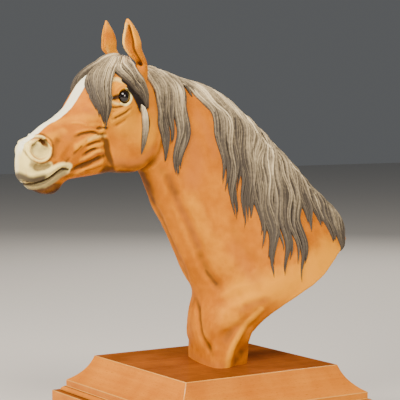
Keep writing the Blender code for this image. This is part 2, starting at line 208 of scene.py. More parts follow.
def moulded_board(name, node, profile):
    """A square board drawn up from its underside, one extrusion for each step of its profile."""
    half, height = profile[0]
    bpy.ops.mesh.primitive_plane_add(size=2.0 * half, location=(0.0, 0.0, 0.0))
    board = bpy.context.object
    board.name = name
    board.data.name = name
    bpy.ops.object.mode_set(mode="EDIT")
    bpy.ops.mesh.select_all(action="SELECT")
    bpy.ops.transform.translate(value=(0.0, 0.0, height))
    for next_half, next_height in profile[1:]:
        bpy.ops.mesh.extrude_region_move(TRANSFORM_OT_translate={"value": (0.0, 0.0, next_height - height)})
        growth = next_half / half
        bpy.ops.transform.resize(value=(growth, growth, 1.0), center_override=(0.0, 0.0, next_height))
        half, height = next_half, next_height
    bpy.ops.mesh.select_all(action="SELECT")
    bpy.ops.mesh.normals_make_consistent(inside=False)
    bpy.ops.object.mode_set(mode="OBJECT")
    bpy.ops.object.shade_smooth_by_angle(angle=math.radians(30.0))
    for finish in (mahogany_side, mahogany_top_dark_reflection, mahogany_arris_highlight):
        board.data.materials.append(finish)
    # Faces that look up take the darker top finish, the painted dark reflection.
    for face in board.data.polygons:
        face.material_index = 1 if face.normal.z > 0.95 else 0
    rounding = board.modifiers.new("arrises", "BEVEL")
    rounding.width = ARRIS
    rounding.segments = 3
    rounding.angle_limit = math.radians(35.0)
    # The rounded arrises take that lighter finish, the painted highlight.
    rounding.material = 2
    bpy.ops.object.modifier_apply(modifier="arrises")

    # Neighbouring sides come from places 0.7 m apart in the wood, so that their figure differs.
    grain = board.data.uv_layers.new(name="grain")
    for face in board.data.polygons:
        along = 1 if abs(face.normal.x) > abs(face.normal.y) and face.normal.z < 0.95 else 0
        across = 1 if face.normal.z > 0.95 else 2
        for corner in face.loop_indices:
            place = board.data.vertices[board.data.loops[corner].vertex_index].co
            grain.data[corner].uv = (place[along] + 0.7 * along, place[across])
    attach(board, "root")
    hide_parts(node)
    board.select_set(False)
    return board


moulded_board("base_board", "plinth_base_board", [(BASE_HIGH.x, BASE_LOW.z), (BASE_HIGH.x, BASE_HIGH.z)])

# ---- The plinth's top board: one thick square of mahogany run over a moulding cutter, with a bead at its
# foot, a small fillet, and a hollow cove that rises to the flat top. It is glued on the base board.
TOP_LOW, TOP_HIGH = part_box("plinth_top_board")
TOP_SIDE = 0.150
BEAD = 0.004
FILLET_HEIGHT = 0.0056
COVE_HOLLOW = 0.10           # depth of the cove as a share of its chord
ARC_STEPS = 12
fillet_half = TOP_HIGH.x - BEAD
bead_top = BASE_HIGH.z + BEAD
moulding = []
for k in range(ARC_STEPS):
    angle = math.pi / 2.0 * k / ARC_STEPS
    moulding.append((fillet_half + BEAD * math.cos(angle),
                     TOP_LOW.z + (bead_top - TOP_LOW.z) * math.sin(angle)))
moulding.append((fillet_half, bead_top))
cove_run = fillet_half - TOP_SIDE / 2.0
cove_foot = bead_top + FILLET_HEIGHT
cove_height = TOP_HIGH.z - cove_foot
cove_chord = math.hypot(cove_run, cove_height)
for k in range(ARC_STEPS + 1):
    share = k / ARC_STEPS
    hollow = COVE_HOLLOW * cove_chord * 4.0 * share * (1.0 - share)
    moulding.append((fillet_half - cove_run * share - hollow * cove_height / cove_chord,
                     cove_foot + cove_height * share - hollow * cove_run / cove_chord))
moulded_board("top_board", "plinth_top_board", moulding)

# ---- The horse's body: one slip-cast bisque porcelain shell of head, neck and cut shoulder, carved in the
# mould with its veins, folds and muscles, fired, and airbrushed and brushed with matt colours. It rests on
# the plinth on its foot.
MM = 0.001
VOXEL_MASSES = 1.3           # grain of the first rough body, then of the blocked-out and of the carved one
VOXEL_BLOCKED = 1.0
VOXEL_CARVED = 0.72
TRIANGLES = 188000
TURN = math.radians(13.0)    # how far the shoulders are turned from the head
TURN_FROM = -80.0            # S where the turn starts, at the throat
TURN_TO = -10.0              # S where it is complete, at the chest
TURN_ABOUT = -20.0           # S that stays in its place, over the foot
RING_STEPS = 6
LOFT_STEPS = 5
STROKE_STEPS = 4

# Sections of the head: S, top, underside, and half widths at HEAD_LEVELS of the way down.
HEAD_LEVELS = (0.05, 0.28, 0.52, 0.78, 0.95)
HEAD = (
    (-179.5, 182, 162, (4.5, 7.5, 8, 7.5, 4.5)),  # front of the muzzle
    (-177, 186.5, 157.5, (7, 11, 11.5, 11, 7)),
    (-173, 189.5, 153, (7.5, 13, 13.5, 12.5, 8)),  # nostrils and upper lip
    (-166, 196, 149, (8, 13.5, 14, 12, 7.5)),
    (-157, 202.5, 146.5, (9.5, 14, 14.5, 11.5, 7)),  # chin
    (-149, 207, 147.5, (10, 14.5, 15, 12, 7)),
    (-143.5, 210.5, 154.5, (10.5, 15.5, 16, 13, 8)),  # chin groove
    (-136.5, 216.5, 158, (11.5, 17.5, 17.5, 14, 9)),  # bars of the jaw
    (-130, 225.5, 159, (13.5, 20, 19, 15, 10)),
    (-121, 238, 160, (15.5, 23.5, 20.5, 16.5, 11)),  # forehead
    (-110, 246, 161.5, (16, 26, 22.5, 17.5, 12)),
    (-98, 250, 163, (17, 26.5, 23, 18.5, 13)),  # eyes
    (-84, 251, 164, (15.5, 22.5, 20.5, 18, 13)),  # poll and jowl
    (-70, 246, 172, (9, 15, 15.5, 15, 10)),
    (-60, 236, 192, (4, 8, 9, 8, 5)),
)

# Sections of the neck: crest (S, H), front (S, H), and half widths at NECK_LEVELS from crest to front.
NECK_LEVELS = (0.05, 0.28, 0.52, 0.78, 0.95)
NECK = (
    ((-76, 245), (-84, 180), (8, 13, 14, 12, 8)),
    ((-58, 246), (-68, 161), (8, 14.5, 16.5, 16, 10.5)),  # throat
    ((-30.5, 237.5), (-56.5, 137), (6.5, 14.5, 18, 18, 12)),
    ((-4, 228), (-43.5, 113), (7, 15.5, 20.5, 20.5, 13.5)),
    ((26.5, 205.5), (-30.5, 84), (7.5, 18, 25, 24.5, 15.5)),
    ((57.5, 175.5), (-19, 57), (8.5, 23, 32, 31, 18.5)),  # narrowest at the chest
    ((90.5, 141), (-21, 40), (10, 30, 38, 36, 25)),
    ((111, 121.5), (-21, 22), (13, 35, 42, 39, 31)),
    ((120, 96), (-17.5, 1), (18, 38, 38, 28, 23)),  # rim of the cut underside
)

# The hollow sweep that the underside is cut to, from the back of the foot up to the withers, as (S, H).
UNDERSIDE = ((22.5, -12), (21.5, 8), (21.5, 20.5), (23.5, 29), (27.5, 35.5), (35, 42.5), (46, 50),
             (57.5, 57), (70.5, 65), (85, 74.5), (98, 86), (128, 110))
UNDERSIDE_OUTER = (170, -12)   # corner of the cutter, well clear of the horse
CUTTER_HALF = 70.0             # half its width

# The foot that stands on the plinth: height, and half its outline from above as (S, D), from front to back.
FOOT = (
    (-4, ((-17, 0), (-16.5, 17), (-13, 34.5), (-3, 36), (6, 27), (20.5, 19), (22, 0))),
    (14, ((-17, 0), (-16.5, 16), (-13, 33), (0, 36), (9, 31), (21, 24), (22.5, 0))),
    (34, ((-16, 0), (-15.5, 17), (-11, 31), (6, 35), (15, 34), (23.5, 30), (25, 0))),
    (46, ((-10, 0), (-9, 14), (-3, 25), (8, 28), (16, 29), (31, 22), (33, 0))),
)

# Rounded masses that stand out from the sections: middle (S, D, H) and radii (S, D, H), made on both sides.
MASSES = {
    "orbit": ((-101, 18, 226), (13, 9, 9)),
    "nostril": ((-167.5, 8, 182.5), (10, 6.5, 10)),
    "facial crest": ((-109, 15.5, 205), (15, 7.5, 7)),
    "pectoral": ((-10, 15, 26), (10, 15.5, 17.5)),
    "forelock bed": ((-91, 3, 247.5), (13, 10, 6.5)),
    "ear root": ((-80, 15.5, 241.5), (5.5, 5.5, 9)),
}

# The cheek: a flat round plate with a crisp edge, through the head. Its middle, its radii, how square it is
# from the side, and how sharply its edge turns.
CHEEK = (-88, 0, 203)
CHEEK_RADII = (29.5, 20.5, 41)
CHEEK_SQUARE = 2.5
CHEEK_EDGE = 4.5

# Ear: sections from root to tip, as middle (S, D, H), half width and depth of the cup.
EAR = (
    ((-78, 11.5, 228), 5, 5.5),
    ((-77, 15, 240), 4.5, 6),
    ((-78, 17, 249), 4.5, 6),
    ((-80.5, 18, 253), 5, 7),
    ((-84.5, 19, 257), 6, 8.5),
    ((-88.5, 19.5, 263), 7, 9.5),
    ((-89, 19, 267.5), 7.5, 10),
    ((-89.5, 18, 275), 6, 8.5),
    ((-90, 17, 281.5), 4, 5),
    ((-90.5, 16, 287), 1.5, 1.5),
)
EARS_FROM = 250.0                 # H over which only the ears stand
EAR_FACING = math.radians(18.0)   # the cup looks this far outwards from straight ahead
EAR_WRAP = math.radians(104.0)    # how far the ear wraps round to each side of its back
EAR_LEAN = -2.5                   # how much further forward the right ear's tip stands than the left one's
EAR_LEAN_FROM = 252.0             # H where that starts, and over how much height it comes
EAR_LEAN_OVER = 12.0
EAR_WALL = 2.6
EAR_AROUND = 20                   # points on the outer and on the inner face of a section


def spline(points, steps, closed=False):
    """A smooth run of points through the given ones."""
    given = np.asarray(points, dtype=float)
    count = len(given)
    if closed:
        padded = np.concatenate([given[-1:], given, given[:2]])
    else:
        padded = np.concatenate([[2.0 * given[0] - given[1]], given, [2.0 * given[-1] - given[-2]]])
    result = []
    for i in range(count if closed else count - 1):
        before, start, end, after = padded[i:i + 4]
        for k in range(steps):
            t = k / steps
            result.append(0.5 * (2.0 * start + (end - before) * t
                                 + (2.0 * before - 5.0 * start + 4.0 * end - after) * t * t
                                 + (3.0 * start - before - 3.0 * end + after) * t * t * t))
    if not closed:
        result.append(given[-1])
    return np.array(result)


def new_piece(name, points, faces):
    """An object of the points and faces, which are all turned outwards."""
    mesh = bpy.data.meshes.new(name)
    mesh.from_pydata(points.tolist(), [], faces)
    work = bmesh.new()
    work.from_mesh(mesh)
    bmesh.ops.recalc_face_normals(work, faces=work.faces)
    work.to_mesh(mesh)
    work.free()
    piece = bpy.data.objects.new(name, mesh)
    bpy.context.scene.collection.objects.link(piece)
    return piece


def strip_faces(rings, around):
    """The faces of a skin over closed rings of that many points, with a cap at each end."""
    faces = [list(range(around))[::-1]]
    for i in range(rings - 1):
        for k in range(around):
            after = (k + 1) % around
            faces.append([i * around + k, i * around + after, (i + 1) * around + after, (i + 1) * around + k])
    faces.append([(rings - 1) * around + k for k in range(around)])
    return faces


def skin_rings(name, rings):
    """An object whose skin runs over the rings."""
    rings = [np.asarray(r) for r in rings]
    return new_piece(name, np.vstack(rings), strip_faces(len(rings), len(rings[0])))


def section(top, bottom, levels, widths):
    """The closed section between a top and a bottom point (S, H) of the middle plane, as (S, D, H) points."""
    half = [(0.0, 0.0)] + list(zip(widths, levels)) + [(0.0, 1.0)]
    outline = half + [(-width, level) for width, level in reversed(half[1:-1])]
    across = spline(outline, RING_STEPS, closed=True)
    middle = np.asarray(top) + across[:, 1:] * (np.asarray(bottom) - np.asarray(top))
    return np.column_stack([middle[:, 0], across[:, 0], middle[:, 1]])


def lofted(name, stations, levels):
    """A body skinned over stations of top, bottom and half widths, with the stations smoothly filled in."""
    table = [list(top) + list(bottom) + list(widths) for top, bottom, widths in stations]
    filled = spline(table, LOFT_STEPS)
    return skin_rings(name, [section(row[0:2], row[2:4], levels, row[4:]) for row in filled])


def foot_block():
    """The foot, from mirrored outlines joined upwards."""
    outlines = []
    for height, half in FOOT:
        whole = list(half) + [(s, -d) for s, d in reversed(half[1:-1])]
        outlines.append([(s, d, height) for s, d in spline(whole, 3, closed=True)])
    return skin_rings("foot", spline(outlines, LOFT_STEPS))


def points_of(piece, what="co"):
    """Where the piece's points are, or their normals."""
    values = np.empty(len(piece.data.vertices) * 3, dtype=np.float32)
    piece.data.vertices.foreach_get(what, values)
    return values.reshape(-1, 3).astype(float)


def set_points(piece, points):
    piece.data.vertices.foreach_set("co", points.astype(np.float32).ravel())
    piece.data.update()


def rounded_mass(name, middle, radii, side):
    bpy.ops.mesh.primitive_ico_sphere_add(subdivisions=5, radius=1.0, location=(0.0, 0.0, 0.0))
    mass = bpy.context.object
    mass.name = name
    mass.scale = radii
    mass.location = (middle[0], side * middle[1], middle[2])
    bpy.ops.object.transform_apply(location=True, rotation=False, scale=True)
    return mass


def cheek_plate():
    """The round plate of both cheeks, a ball squared off by its two powers."""
    bpy.ops.mesh.primitive_ico_sphere_add(subdivisions=6, radius=1.0, location=(0.0, 0.0, 0.0))
    plate = bpy.context.object
    way = points_of(plate)
    around = (np.abs(way[:, 0]) ** CHEEK_SQUARE + np.abs(way[:, 2]) ** CHEEK_SQUARE) ** (1.0 / CHEEK_SQUARE)
    size = (around ** CHEEK_EDGE + np.abs(way[:, 1]) ** CHEEK_EDGE) ** (-1.0 / CHEEK_EDGE)
    set_points(plate, way * size[:, None] * CHEEK_RADII + CHEEK)
    return plate


def ear_shell(side):
    """A leaf-shaped ear: crescent sections, with an outer face round its back and an inner one in its cup."""
    rings = []
    rows = spline([list(middle) + [width, depth] for middle, width, depth in EAR], LOFT_STEPS)
    for s, d, h, width, depth in rows:
        wall = min(EAR_WALL, 0.7 * width)
        forward = min(1.0, max(0.0, (h - EAR_LEAN_FROM) / EAR_LEAN_OVER)) * EAR_LEAN if side > 0.0 else 0.0
        crescent = []
        for half_width, back, way in ((width, depth, 1.0), (width - wall, depth - wall, -1.0)):
            for k in range(EAR_AROUND):
                angle = way * EAR_WRAP * (2.0 * k / (EAR_AROUND - 1) - 1.0)
                across = half_width * math.sin(angle)
                behind = back * math.cos(angle)
                along = behind * math.cos(EAR_FACING) - across * math.sin(EAR_FACING)
                aside = -behind * math.sin(EAR_FACING) - across * math.cos(EAR_FACING)
                crescent.append((s + along + forward, side * (d + aside), h))
        rings.append(crescent)
    return skin_rings("ear", rings)


def smoothed(piece, rounds):
    """Rubs the piece's skin down evenly."""
    smooth = piece.modifiers.new("smooth", "SMOOTH")
    smooth.factor = 0.5
    smooth.iterations = rounds
    bpy.context.view_layer.objects.active = piece
    bpy.ops.object.modifier_apply(modifier="smooth")


def grown_together(pieces, voxel, smooth_rounds):
    """The overlapping pieces as one skin, smoothed."""
    bpy.ops.object.select_all(action="DESELECT")
    for piece in pieces:
        piece.select_set(True)
    bpy.context.view_layer.objects.active = pieces[0]
    if len(pieces) > 1:
        bpy.ops.object.join()
    body = bpy.context.object
    remesh = body.modifiers.new("grow together", "REMESH")
    remesh.mode = "VOXEL"
    remesh.voxel_size = voxel
    bpy.ops.object.modifier_apply(modifier="grow together")
    smoothed(body, smooth_rounds)
    return body


def cut_underside(body):
    """Takes away what lies under the sweep from the foot to the withers."""
    sweep = [tuple(point) for point in spline(UNDERSIDE, 6)]
    profile = sweep + [(UNDERSIDE_OUTER[0], sweep[-1][1]), UNDERSIDE_OUTER]
    cutter = skin_rings("cutter", [[(s, d, h) for s, h in profile] for d in (-CUTTER_HALF, CUTTER_HALF)])
    cut = body.modifiers.new("underside", "BOOLEAN")
    cut.operation = "DIFFERENCE"
    cut.object = cutter
    bpy.context.view_layer.objects.active = body
    bpy.ops.object.modifier_apply(modifier="underside")
    bpy.data.objects.remove(cutter)


def skin_tree(piece):
    """The piece's skin as a tree that finds the nearest place or what a ray meets."""
    mesh = piece.data
    return BVHTree.FromPolygons([v.co[:] for v in mesh.vertices], [p.vertices[:] for p in mesh.polygons])


def on_left_side(route, tree):
    """The route, (S, H) as seen square on from the left or (S, D, H) near the skin, laid on the skin."""
    laid = []
    for point in route:
        if len(point) == 2:
            hit = tree.ray_cast(Vector((point[0], -100.0, point[1])), Vector((0.0, 1.0, 0.0)))[0]
            laid.append(hit or tree.find_nearest(Vector((point[0], 0.0, point[1])))[0])
        else:
            laid.append(tree.find_nearest(Vector(point))[0])
    return np.array(laid)


def folded(points):
    """The points with the right side laid over the left, so that one tool stroke works on both."""
    return np.column_stack([points[:, 0], -np.abs(points[:, 1]), points[:, 2]])


def smooth_step(values):
    """0 below 0 and 1 above 1, with a smooth step between."""
    inside = np.clip(values, 0.0, 1.0)
    return inside * inside * (3.0 - 2.0 * inside)


def tool_touch(points, route, width, taper=0.2):
    """Which points a tool drawn along the route touches, and how much: 1 on its line, 0 at its width."""
    low = route.min(axis=0) - width
    high = route.max(axis=0) + width
    near = np.flatnonzero(((points > low) & (points < high)).all(axis=1))
    spots = points[near]
    best = np.full(len(spots), np.inf)
    place = np.zeros(len(spots))
    run = 0.0
    for start, end in zip(route[:-1], route[1:]):
        step = end - start
        length = math.sqrt(step @ step)
        if length == 0.0:
            continue
        share = np.clip((spots - start) @ step / length ** 2, 0.0, 1.0)
        off = spots - start - share[:, None] * step
        gap = np.sqrt((off * off).sum(axis=1))
        closer = gap < best
        best[closer] = gap[closer]
        place[closer] = run + share[closer] * length
        run += length
    touch = np.clip(1.0 - (best / width) ** 2, 0.0, 1.0) ** 2
    if taper > 0.0:
        ends = np.minimum(place, run - place) / (taper * run)
        touch *= 0.15 + 0.85 * smooth_step(ends)
    return near, touch


def carve(piece, strokes, both_sides=True):
    """Draws each tool along its route: a positive depth raises the skin and a negative cuts it."""
    tree = skin_tree(piece)
    points = points_of(piece)
    normals = points_of(piece, "normal")
    over = folded(points) if both_sides else points
    for route, depth, width in strokes:
        line = on_left_side(spline(route, STROKE_STEPS), tree)
        near, touch = tool_touch(over, line, width)
        points[near] += normals[near] * (depth * touch)[:, None]
    set_points(piece, points)


def press(piece, middle, radii, depth, inward, wall):
    """Presses a round hollow into both sides, with walls that take that share of its radius."""
    points = points_of(piece)
    over = folded(points)
    reach = np.hypot((over[:, 0] - middle[0]) / radii[0], (over[:, 2] - middle[2]) / radii[1])
    near = (reach < 1.0) & (over[:, 1] < middle[1])
    amount = depth * smooth_step((1.0 - reach[near]) / wall)
    way = np.asarray(inward) / np.linalg.norm(inward)
    move = amount[:, None] * way
    move[:, 1] *= -np.sign(points[near, 1])
    points[near] += move
    set_points(piece, points)


EYE = (-98.5, -21.5, 224)        # middle of the left ball (S, D, H)
EYE_RADIUS = 5.8
NOSTRIL = (-167.5, -12, 183.5)   # middle of the left nostril's hollow


def oval(middle, radii, start=0.0, end=360.0, steps=12):
    """Points (S, H) round an oval, from the start to the end in degrees: 0 is towards +S and 90 is up."""
    turns = [math.radians(start + (end - start) * k / steps) for k in range(steps + 1)]
    return tuple((middle[0] + radii[0] * math.cos(turn), middle[2] + radii[1] * math.sin(turn))
                 for turn in turns)


# Routes that are both carved and painted.
MOUTH = ((-175.5, 155.5), (-171, 156), (-162, 158.5), (-156, 162), (-151, 166), (-147, 167.5),
         (-143, 166.5))
VEIN_SHADE = ((-113, 194.5), (-118, 194), (-125, 196), (-134, 194.5), (-139, 192.5))
CREST_END = ((-116, 206), (-115, 201), (-117, 197))
EYE_FURROW = ((-109, 206), (-102, 209), (-97, 211.5), (-92, 215))
CHEST_GROOVE = ((-19, -2, 53), (-21, -8, 46), (-22, -12, 37), (-22, -16, 27),
                (-20, -22, 19), (-15.5, -30, 11))
FOOT_EDGE = ((25, 48), (14, 37), (7, 27), (1, 17), (-2, 8), (-3, 0))

# What is carved, broad forms first: route, depth and width of the tool.
BROAD = (
    (((-53, 164), (-46, 147), (-36, 127), (-27, 106), (-19, 87)), -2.2, 8),  # jugular groove
    (((-25, 98), (-18, 83), (-12, 73), (-6, 65)), -1.8, 7),
    (((-61, 147), (-49, 126), (-37, 101), (-27, 80), (-21, 61)), 1.4, 7),  # windpipe
    (((-38, 152), (-22, 118), (-8, 92), (6, 70)), 1.8, 12),  # neck muscle
    (((2, 84), (16, 62), (24, 48)), 1.2, 10),  # shoulder point
    (((-12, 50), (-2, 57), (10, 62), (30, 66)), -1, 7),
    (((8, 48), (19, 54), (31, 56)), -1, 6),
    (FOOT_EDGE, 1.3, 6),
    (((24, -24, 30), (17, -24, 16), (9, -30, 6)), -1.2, 9),  # facet behind it
    (((-6, 34), (-4, 24), (-8, 14)), -1, 9),
    (((-106, 167), (-95, 162), (-81, 162), (-70, 166), (-62, 174), (-58, 183), (-56, 197), (-59, 213),
      (-63, 229), (-67, 241)), -1.3, 3.5),  # behind the jowl
    (((-117, 196), (-115, 190), (-112, 184), (-109, 176), (-107, 167)), -1.7, 5.5),  # before the cheek
    (((-115, 192.5), (-122, 192), (-130, 189), (-137, 184.5), (-141, 181)), 1.7, 5),  # cheek muscles
    (((-138, 186), (-144, 180), (-149, 172)), -1.2, 5),
    (((-150, 192), (-154, 184), (-157, 175)), -1, 6),
    (((-112, 186.5), (-119, 185.5), (-126, 184), (-131, 181)), 1, 3.4),
    (((-113, 180.5), (-119, 180.5), (-125, 177), (-133, 173.5)), 1.6, 3.6),
    (((-113, 176.5), (-121, 173), (-127, 171), (-134, 168), (-139, 166.5)), -2.2, 3.8),
    (((-110, 173), (-117, 170.5), (-127, 167), (-139, 161.5)), 1.5, 4),
    (CREST_END, 1.3, 3.6),
    (((-113, 201), (-108, 205), (-99, 210), (-90, 214)), 1.3, 5),
    (((-126, 224), (-121, 232), (-114, 238)), -1.4, 9),  # temple
    (((-84, 240), (-88, 232), (-86, 224)), -1.6, 8),  # above the eye
    (((-178, 160.5), (-170, 162.5), (-160, 165.5), (-151, 169.5), (-142, 170.5)), 1.4, 4.5),  # upper lip
    (((-164, 151), (-157, 150.5), (-152, 153)), 1.4, 6),  # chin
    (((-173, 171), (-169, 168.5), (-163, 170)), -1.8, 4.5),  # under the nostril
)
FINE = (
    (oval(NOSTRIL, (9.5, 10), steps=16), 1, 1.8),  # rim of the nostril
    (((-167, 190.5), (-163.5, 190), (-162.5, 187.5), (-163.5, 185.5)), -1.6, 4.6),  # its hole
    (((-176, 188), (-172, 189), (-168.5, 188.5), (-166, 186.5), (-167.5, 184.5)), 0.8, 2.4),  # and its curl
    (MOUTH, -2, 1.7),
    (((-176, 151.5), (-166, 152.5), (-159, 156), (-153, 160.5), (-145, 163.5)), 0.6, 4),  # lower lip
    (((-163, 163.5), (-158, 166.5), (-153, 169.5), (-148, 170.5), (-142, 170)), 1, 2.2),
    (((-150, 168.5), (-146.5, 169), (-143.5, 168)), -0.9, 1.3),  # corner of the mouth
    (((-166, 167), (-159, 170), (-152, 173)), -0.8, 2),
    (((-170, 150.5), (-164, 151), (-157, 152.5), (-150, 156)), -0.4, 3),  # above the chin
    (VEIN_SHADE, -0.9, 1.8),  # under the vein
    (((-114, 197), (-119, 196.5), (-126, 198), (-134, 197), (-141, 194.5)), 0.9, 1.6),  # the vein
    (((-119, 194), (-122, 192)), -0.6, 1.4),  # its branches
    (((-128, 200.5), (-134, 203), (-142, 203.5)), 0.6, 1.7),
    (((-116, 188.5), (-121, 188), (-127, 186), (-130, 184.5)), -0.9, 1.6),  # wrinkles
    (((-120, 183), (-125, 181.5), (-130, 178.5)), -1, 1.7),
    (((-133, 186), (-137, 181), (-140, 178)), -0.7, 1.7),
    (((-126, 191.5), (-131, 188)), -0.5, 1.4),
    (((-119, 177.5), (-124, 174.5), (-131, 172)), 0.5, 1.4),
    (((-121, 172), (-126, 169.5), (-133, 167)), -0.7, 1.6),
    (((-112, 169), (-121, 166), (-129, 164.5)), -0.5, 1.6),
    (((-142, 176), (-146, 171)), -0.5, 1.6),
    (((-121, 199), (-117, 199.5), (-112, 199)), -1.2, 1.7),  # under the crest
    (((-113, 216), (-107, 215.5), (-101, 216.5), (-95, 218.5)), -0.9, 1.6),  # under the eye
    (EYE_FURROW, -1.2, 2),
    (((-110, 209), (-103, 212), (-97, 214.5)), 0.7, 2),
    (((-106, 200.5), (-100, 203), (-95, 206.5)), -0.6, 2),
    (((-111, 212.5), (-107, 212)), -0.5, 1.6),
    (oval(EYE, (9.5, 9), 25, 165, 6), 0.8, 2.2),  # fold of the lid
    (oval(EYE, (6.8, 6.4), steps=16), 0.9, 1.5),  # edge of the lids
    (((-112, 222.5), (-108.5, 223), (-104.5, 224)), -1.6, 1.6),  # tear duct
    (((15, 79), (21, 84)), -0.4, 3),
)


def bend(points):
    """Turns the flat layout: the heading grows smoothly from nothing at the throat to TURN at the chest."""
    along = np.linspace(-230.0, 190.0, 841)  # S in half millimetres, past both ends of the horse
    heading = TURN * smooth_step((along - TURN_FROM) / (TURN_TO - TURN_FROM))
    step = along[1] - along[0]
    middle = 0.5 * (heading[1:] + heading[:-1])
    x = np.concatenate([[0.0], np.cumsum(np.cos(middle)) * step])
    y = np.concatenate([[0.0], -np.cumsum(np.sin(middle)) * step])
    x += TURN_ABOUT - np.interp(TURN_ABOUT, along, x)
    y -= np.interp(TURN_ABOUT, along, y)
    s, d, h = points.T
    angle = np.interp(s, along, heading)
    return np.column_stack([np.interp(s, along, x) + d * np.sin(angle),
                            np.interp(s, along, y) + d * np.cos(angle), h])


def stood_up(piece):
    """Turns the flat piece, stands it on the plinth and brings it to metres."""
    points = bend(points_of(piece))
    points[:, 2] += TOP_HIGH.z / MM
    set_points(piece, points * MM)


def block_out():
    """The rough body, its underside cut, with the ears on."""
    pieces = [lofted("horse", [((s, top), (s, low), widths) for s, top, low, widths in HEAD], HEAD_LEVELS),
              lofted("neck", NECK, NECK_LEVELS), foot_block(), cheek_plate()]
    for name, (middle, radii) in MASSES.items():
        pieces += [rounded_mass(name, middle, radii, side) for side in (-1.0, 1.0)]
    body = grown_together(pieces, VOXEL_MASSES, smooth_rounds=6)
    cut_underside(body)
    ears = [ear_shell(side) for side in (-1.0, 1.0)]
    return grown_together([body] + ears, VOXEL_BLOCKED, smooth_rounds=2)


def hand_worked(piece, depth):
    """Leaves the slight unevenness of a skin that was smoothed by hand."""
    points = points_of(piece)
    normals = points_of(piece, "normal")
    uneven = [noise.noise(Vector(p) / 13.0) + 0.4 * noise.noise(Vector(p) / 5.0) for p in points]
    set_points(piece, points + normals * (depth * np.array(uneven))[:, None])


horse = block_out()
horse.name = "horse"
carve(horse, BROAD)
carve(horse, ((CHEST_GROOVE, -2.4, 6.5),), both_sides=False)
press(horse, NOSTRIL, radii=(9.5, 10.0), depth=4.0, inward=(0.35, 0.93, 0.05), wall=0.35)
press(horse, (EYE[0], EYE[1] + 2.0, EYE[2]), radii=(6.4, 6.0), depth=4.6, inward=(0.1, 1.0, 0.0), wall=0.25)
horse = grown_together([horse], VOXEL_CARVED, smooth_rounds=1)
hand_worked(horse, depth=0.35)
carve(horse, FINE)
smoothed(horse, rounds=2)
horse_tree = skin_tree(horse)
fewer = horse.modifiers.new("fewer faces", "DECIMATE")
fewer.ratio = TRIANGLES / (2.0 * len(horse.data.polygons))
fewer.use_collapse_triangulate = True
bpy.context.view_layer.objects.active = horse
bpy.ops.object.modifier_apply(modifier="fewer faces")

# What is painted over the chestnut ground: route, strength and width of the brush. The strokes are laid on
# both sides, apart from the near-black painted shadow behind the forelock, which is on the left.
# YELLOW: the porcelain's yellow airbrushing on the ridges, cheek, neck and shoulder, there partly painted
# highlight; the ears' cups take it as their own colour.
YELLOW = (
    (((-102, 212), (-88, 202), (-76, 196)), 0.9, 24),  # cheek
    (((-30, 135), (-20, 118), (-8, 101), (-2, 85)), 0.45, 26),  # neck
    (((-10, 150), (-4, 130), (4, 112)), 0.2, 18),
    (((8, 62), (24, 66), (45, 68), (66, 74), (95, 92)), 1, 24),  # cut shoulder
    (((-6, 46), (4, 40)), 0.5, 16),
    (FOOT_EDGE, 1, 5),
    (((-114, 193), (-122, 192), (-130, 189), (-138, 184)), 1, 4.5),  # cheek muscles
    (((-113, 186.5), (-120, 185.5), (-127, 183.5)), 0.8, 3),
    (((-113, 181), (-119, 181), (-126, 177), (-133, 174)), 0.7, 3),
    (((-110, 172.5), (-118, 170), (-128, 166.5), (-138, 162)), 0.25, 3.6),
    (CREST_END, 1, 4),
    (((-120, 202.5), (-127, 202)), 0.7, 3),
    (((-112, 230), (-106, 233.5), (-98, 234.5)), 1, 7),  # brow
    (((-112, 219), (-106, 217.5), (-99, 218), (-93, 221)), 1, 3.2),  # lower lid
    (((-109, 213), (-102, 214), (-94, 216.5)), 0.9, 4),
    (((-108, 203), (-100, 206), (-93, 209)), 0.6, 5),
    (((-159, 192), (-153, 194), (-147, 197)), 0.7, 5.5),  # over the nostril
    (((-160, 204), (-146, 205), (-134, 207), (-122, 208)), 0.6, 7),  # side of the nose
    (((-90, -17, 286), (-90, -19, 272), (-85, -19, 258)), 1, 13),  # ears
)
ROSE = (
    (((-72, 237), (-69, 221), (-66, 205), (-66, 189)), 0.3, 9),  # back of the cheek
    (((-104, 172), (-90, 170), (-78, 173), (-68, 181)), 0.8, 8),
    (((-112, 179), (-119, 178.5), (-126, 175), (-132, 172.5)), 1, 2.6),  # pale ridge
    (((-51, 158), (-46, 147), (-39, 132), (-30, 116), (-23, 101)), 0.8, 6),  # jugular groove
    (((-47, 200), (-35, 190), (-26, 175), (-30, 155)), 0.7, 18),  # upper neck
    (((-22, 210), (-14, 196), (-8, 176)), 0.6, 9),
    (((8, 48), (19, 53), (30, 56)), 0.7, 5.5),
    (((-4, 23), (0, 28), (4, 33)), 0.7, 7),
    (((-18, 4), (-16, 2), (-8, 1)), 0.7, 7),
    (((-130, 214), (-124, 210.5)), 0.7, 5),
    (((-150, 196), (-143, 191)), 0.5, 5),
    (((4, 100), (12, 86), (20, 74)), 0.6, 14),
)
EAR_ROOT = ((-79.5, -15, 250.5), (-77, -17, 251))
